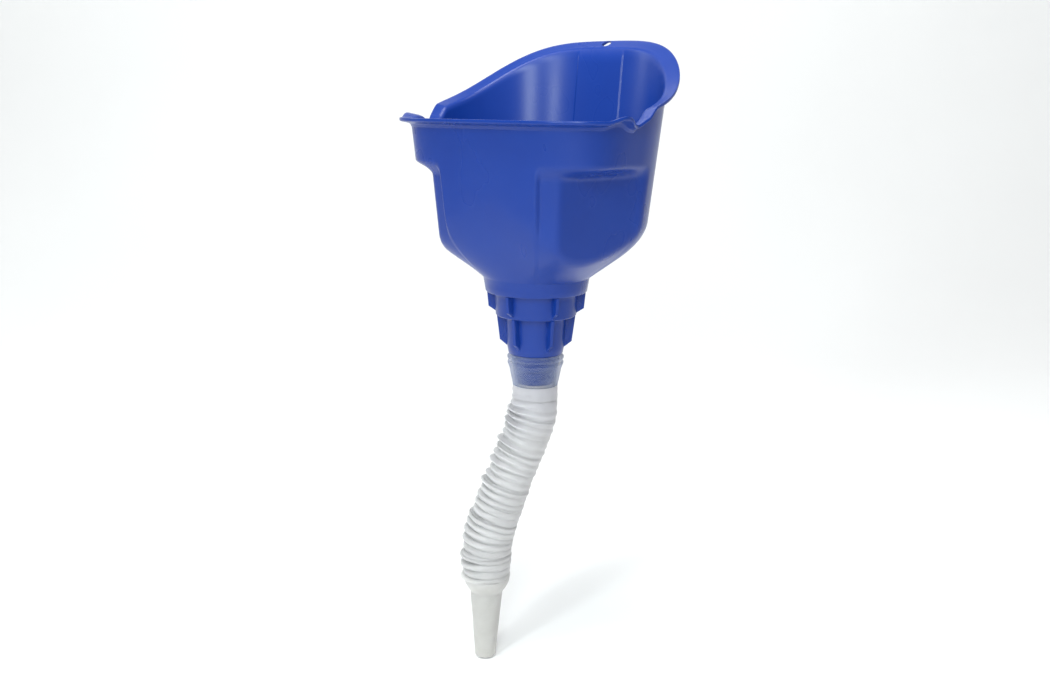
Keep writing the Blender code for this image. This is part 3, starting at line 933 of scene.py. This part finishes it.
def floor_paint():
    material, tree, shader = new_material("pale_floor")
    cloud = noise_node(tree, 3.0, 3.0)
    colour = ramp(tree, cloud.outputs["Fac"],
                  [(0.3, (0.90, 0.90, 0.90)), (0.7, (0.92, 0.92, 0.92))])
    tree.links.new(colour.outputs["Color"], shader.inputs["Base Color"])
    shader.inputs["Roughness"].default_value = 0.9
    shader.inputs["Specular IOR Level"].default_value = 0.1
    shader.inputs["Emission Color"].default_value = (*WHITE, 1.0)
    shader.inputs["Emission Strength"].default_value = 0.10
    return material


# --------------------------------------------------------------------------- studio

def build_floor(material):
    """Floor that curves up into a backdrop behind the object."""
    low = CAD_BOUNDS[0].z / MM - FLOOR_GAP
    azimuth = math.radians(CAMERA_AZIMUTH)
    away = Vector((-math.sin(azimuth), math.cos(azimuth), 0))
    side = Vector((math.cos(azimuth), math.sin(azimuth), 0))
    line = [(FLOOR_NEAR, 0.0), (FLOOR_FLAT_END, 0.0)]
    for step in range(1, FLOOR_CURVE_STEPS + 1):
        turn = math.pi / 2 * step / FLOOR_CURVE_STEPS
        line.append((FLOOR_FLAT_END + FLOOR_CURVE * math.sin(turn),
                     FLOOR_CURVE * (1 - math.cos(turn))))
    line.append((FLOOR_FLAT_END + FLOOR_CURVE, BACKDROP_TOP))
    verts = []
    for forward, up in line:
        for across in (-FLOOR_HALF_WIDTH, FLOOR_HALF_WIDTH):
            point = away * forward + side * across + Vector((0, 0, low + up))
            verts.append(tuple(point * MM))
    faces = [(i, i + 1, i + 3, i + 2) for i in range(0, len(verts) - 2, 2)]
    mesh = bpy.data.meshes.new("studio_floor")
    mesh.from_pydata(verts, [], faces)
    mesh.update()
    mesh.shade_smooth()
    new_piece("studio_floor", mesh, material)


def camera_axes():
    """Directions back to the camera, to its right and up, before its roll."""
    azimuth = math.radians(CAMERA_AZIMUTH)
    pitch = math.radians(CAMERA_PITCH)
    back = Vector((math.sin(azimuth) * math.cos(pitch), -math.cos(azimuth) * math.cos(pitch),
                   math.sin(pitch)))
    right = Vector((math.cos(azimuth), math.sin(azimuth), 0))
    up = back.cross(right)
    return back, right, up


def build_camera():
    back, right, up = camera_axes()
    roll = math.radians(CAMERA_ROLL)
    eye = AXIS_POINT + back * CAMERA_DISTANCE
    turned_right = right * math.cos(roll) + up * math.sin(roll)
    turned_up = up * math.cos(roll) - right * math.sin(roll)
    target = AXIS_POINT + turned_right * AIM_RIGHT + turned_up * AIM_UP
    view_back = (eye - target).normalized()
    view_right = turned_up.cross(view_back).normalized()
    view_up = view_back.cross(view_right)
    data = bpy.data.cameras.new("camera")
    data.lens = FOCAL
    data.sensor_width = 36.0
    data.clip_start = 0.01
    data.clip_end = 20.0
    camera = bpy.data.objects.new("camera", data)
    bpy.context.scene.collection.objects.link(camera)
    turn = Matrix((view_right, view_up, view_back)).transposed().to_4x4()
    camera.matrix_world = Matrix.Translation(eye * MM) @ turn
    bpy.context.scene.camera = camera


def softbox(name, azimuth, elevation, width, height, power, colour):
    """Rectangular light aimed at the hopper; azimuth 0 is in front of the low lip."""
    turn = math.radians(azimuth)
    rise = math.radians(elevation)
    direction = Vector((math.sin(turn) * math.cos(rise), -math.cos(turn) * math.cos(rise),
                        math.sin(rise)))
    place = LIGHT_AIM + direction * LIGHT_DISTANCE
    data = bpy.data.lights.new(name, "AREA")
    data.shape = "RECTANGLE"
    data.size = width * MM
    data.size_y = height * MM
    data.energy = power
    data.color = colour
    light = bpy.data.objects.new(name, data)
    bpy.context.scene.collection.objects.link(light)
    light.location = place * MM
    light.rotation_mode = "QUATERNION"
    light.rotation_quaternion = direction.to_track_quat("Z", "Y")


def mouth_light():
    """Small soft light above the hopper's mouth, to open up its inside."""
    data = bpy.data.lights.new("mouth_fill", "AREA")
    data.shape = "DISK"
    data.size = MOUTH_LIGHT_SIZE * MM
    data.energy = MOUTH_LIGHT_WATTS
    light = bpy.data.objects.new("mouth_fill", data)
    bpy.context.scene.collection.objects.link(light)
    light.location = (0.0, 0.0, MOUTH_LIGHT_Z * MM)
    light.visible_camera = False


def build_lights():
    world = bpy.data.worlds.new("studio")
    bpy.context.scene.world = world
    world.use_nodes = True
    background = world.node_tree.nodes["Background"]
    background.inputs["Color"].default_value = (*WHITE, 1.0)
    background.inputs["Strength"].default_value = WORLD_STRENGTH
    for row in SOFTBOXES:
        softbox(*row)
    mouth_light()
    bpy.context.scene.view_settings.view_transform = "Standard"


def main():
    blue = blue_plastic()
    tube = milky_plastic("milky_polythene", SPOUT_TONES_AND_PAINTED_SHADE, 0.0)
    clear = milky_plastic("clear_polythene", COLLAR_TONES, 0.95)
    white = white_plastic()
    build_funnel(blue)
    build_strainer(white)
    build_gauze(brass_wire())
    build_collar(clear)
    build_neck_of_bellows(tube)
    build_bellows(tube)
    build_nozzle(tube)
    build_floor(floor_paint())
    build_lights()
    build_camera()


main()
